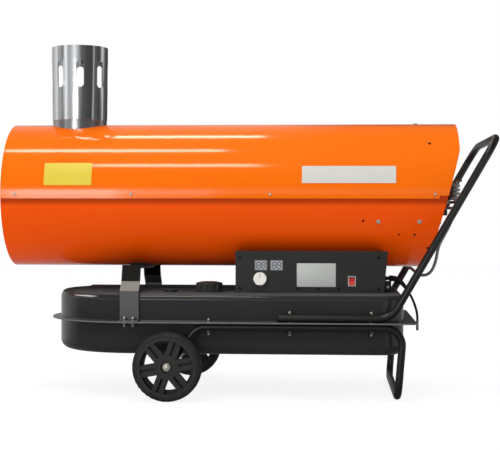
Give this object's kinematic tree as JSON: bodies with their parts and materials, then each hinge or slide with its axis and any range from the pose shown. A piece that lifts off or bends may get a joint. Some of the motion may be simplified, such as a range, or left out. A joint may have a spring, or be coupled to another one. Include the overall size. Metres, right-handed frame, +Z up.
{
  "type": "diesel forced air heater",
  "caption": "Indirect diesel forced air heater: orange barrel casing with a top flue over a black fuel tank, side control box, tube frame with handle, spoked wheels, rear leg and power cord.",
  "frame": {"origin": "floor level, middle of the overall length and width, cords left out", "axes": "+X from the hot air outlet towards the handle, +Z up, the control panel faces -Y"},
  "size_m": [1.057, 0.492, 0.7615],
  "materials": {
    "orange_paint": "gloss",
    "zinc_steel": "satin",
    "flue_chrome": "polished",
    "spigot_steel": "satin",
    "heat_steel": "satin",
    "nozzle_brass": "satin",
    "electrode_ceramic": "gloss",
    "fuel_line_copper": "satin",
    "black_enamel": "gloss",
    "panel_paint": "satin",
    "black_powder": "satin",
    "frame_paint": "gloss",
    "motor_paint": "satin",
    "cast_alloy": "satin",
    "ground_steel": "polished",
    "cap_plastic": "satin",
    "seal_rubber": "matte",
    "gauge_plastic": "satin",
    "float_plastic": "matte",
    "pointer_red": "satin",
    "clear_lens": "gloss",
    "display_plastic": "gloss",
    "board_green": "satin",
    "transformer_resin": "matte",
    "knob_white": "satin",
    "switch_grey": "satin",
    "rocker_red": "gloss",
    "wheel_plastic": "satin",
    "tyre_rubber": "matte",
    "cord_jacket": "satin",
    "lead_jacket": "satin",
    "plug_rubber": "satin",
    "probe_metal": "satin"
  },
  "bodies": {
    "heater": {"axle": "zinc_steel", "axle_hardware": "zinc_steel", "burner_plate": "heat_steel", "burner_tube": "heat_steel", "cable_glands": "gauge_plastic", "circuit_board": "board_green", "combustion_chamber": "heat_steel", "control_box": "black_enamel", "control_panel": "panel_paint", "cord_hooks": "ground_steel", "cord_tail": "cord_jacket", "cord_winding": "cord_jacket", "display_modules": "display_plastic", "drum_supports": "heat_steel", "filler_neck": "black_enamel", "flue_sleeve": "flue_chrome", "flue_spigot": "spigot_steel", "frame_bolts": "zinc_steel", "fuel_gauge": "gauge_plastic", "fuel_pump": "cast_alloy", "fuel_strainer": "ground_steel", "gauge_lens": "clear_lens", "handle_frame": "frame_paint", "heat_exchanger_drum": "heat_steel", "housing_screws": "zinc_steel", "ignition_electrodes": "electrode_ceramic", "ignition_transformer": "transformer_resin", "lower_casing": "orange_paint", "lower_frame": "frame_paint", "motor": "motor_paint", "motor_bracket": "black_powder", "nozzle": "nozzle_brass", "outlet_ring": "heat_steel", "potentiometer": "ground_steel", "power_cord": "cord_jacket", "power_plug": "plug_rubber", "pressure_line": "fuel_line_copper", "rear_guard": "black_powder", "saddle_bracket": "black_enamel", "saddle_pad": "seal_rubber", "sensor_lead": "lead_jacket", "sensor_probe": "probe_metal", "suction_line": "fuel_line_copper", "swirl_disc": "heat_steel", "switch_housing": "switch_grey", "tank_lower_shell": "black_enamel", "tank_upper_shell": "black_enamel", "upper_casing": "orange_paint"},
    "fan": {"fan_shaft": "ground_steel", "fan_blades": "cast_alloy"},
    "cap_gasket": {"cap_seal": "seal_rubber"},
    "cap": {"filler_cap": "cap_plastic"},
    "level_float": {"gauge_float": "float_plastic", "gauge_pointer": "pointer_red"},
    "knob": {"thermostat_knob": "knob_white"},
    "rocker": {"switch_rocker": "rocker_red"},
    "right_wheel": {"wheel_right": "wheel_plastic", "tyre_right": "tyre_rubber"},
    "left_wheel": {"wheel_left": "wheel_plastic", "tyre_left": "tyre_rubber"}
  },
  "joints": [
    {"name": "right_wheel_spin", "type": "hinge", "parent": "heater", "child": "right_wheel", "pos_m": [-0.1595, -0.226, 0.072], "axis": [0, 1, 0], "continuous": true},
    {"name": "left_wheel_spin", "type": "hinge", "parent": "heater", "child": "left_wheel", "pos_m": [-0.1595, 0.226, 0.072], "axis": [0, 1, 0], "continuous": true},
    {"name": "fan_spin", "type": "hinge", "parent": "heater", "child": "fan", "pos_m": [0.234, 0, 0.43], "axis": [1, 0, 0], "continuous": true},
    {"name": "knob_turn", "type": "hinge", "parent": "heater", "child": "knob", "pos_m": [0.0285, -0.158, 0.2515], "axis": [0, -1, 0], "range_deg": [-135, 135]},
    {"name": "rocker_tilt", "type": "hinge", "parent": "heater", "child": "rocker", "pos_m": [0.222, -0.147, 0.247], "axis": [1, 0, 0], "range_deg": [-16, 0]},
    {"name": "cap_lift", "type": "slide", "parent": "heater", "child": "cap_gasket", "axis": [0, 0, 1], "range_m": [0, 0.0091]},
    {"name": "cap_turn", "type": "hinge", "parent": "cap_gasket", "child": "cap", "pos_m": [-0.0815, -0.13, 0.235], "axis": [0, 0, 1], "range_deg": [0, 540]},
    {"name": "float_swing", "type": "hinge", "parent": "heater", "child": "level_float", "pos_m": [-0.1635, -0.138, 0.212], "axis": [0, 1, 0], "range_deg": [0, 64]}
  ],
  "couplings": [
    {"joint": "cap_lift", "follows": "cap_turn", "m_per_rad": 0.00095493}
  ]
}
